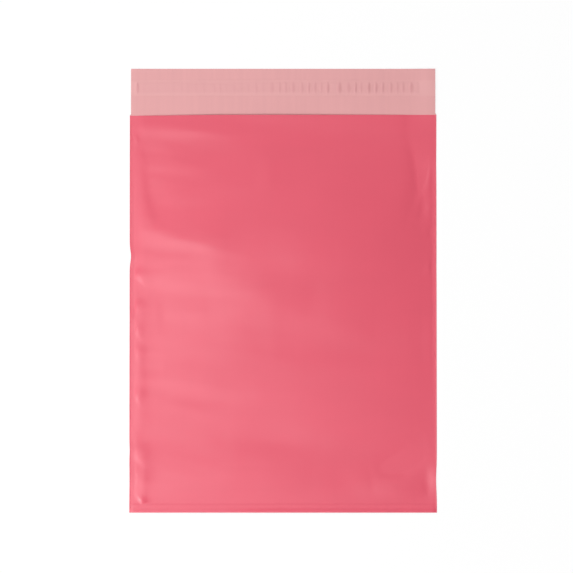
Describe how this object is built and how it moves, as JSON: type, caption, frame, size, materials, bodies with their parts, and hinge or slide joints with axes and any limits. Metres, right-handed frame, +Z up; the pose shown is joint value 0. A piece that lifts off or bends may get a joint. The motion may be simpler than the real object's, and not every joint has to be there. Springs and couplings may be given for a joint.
{
  "type": "poly mailer bag",
  "caption": "Flat plastic mailing bag lying on its back: a side-welded film pocket with a closing flap, an adhesive strip and its peel-off liner.",
  "frame": {"origin": "on the underside of the bag, under the middle of its outline", "axes": "+Z up out of the front film, +Y towards the closing flap, +X to the right as seen from above with the flap away"},
  "size_m": [0.254, 0.3674, 0.0085],
  "materials": {
    "film": "soft gloss polyethylene film, pink outside and pale inside",
    "adhesive": "hot-melt glue",
    "liner": "thin cloudy release film"
  },
  "bodies": {
    "root": {"film_bag": "film", "adhesive_strip": "adhesive", "release_liner": "liner"}
  },
  "joints": []
}
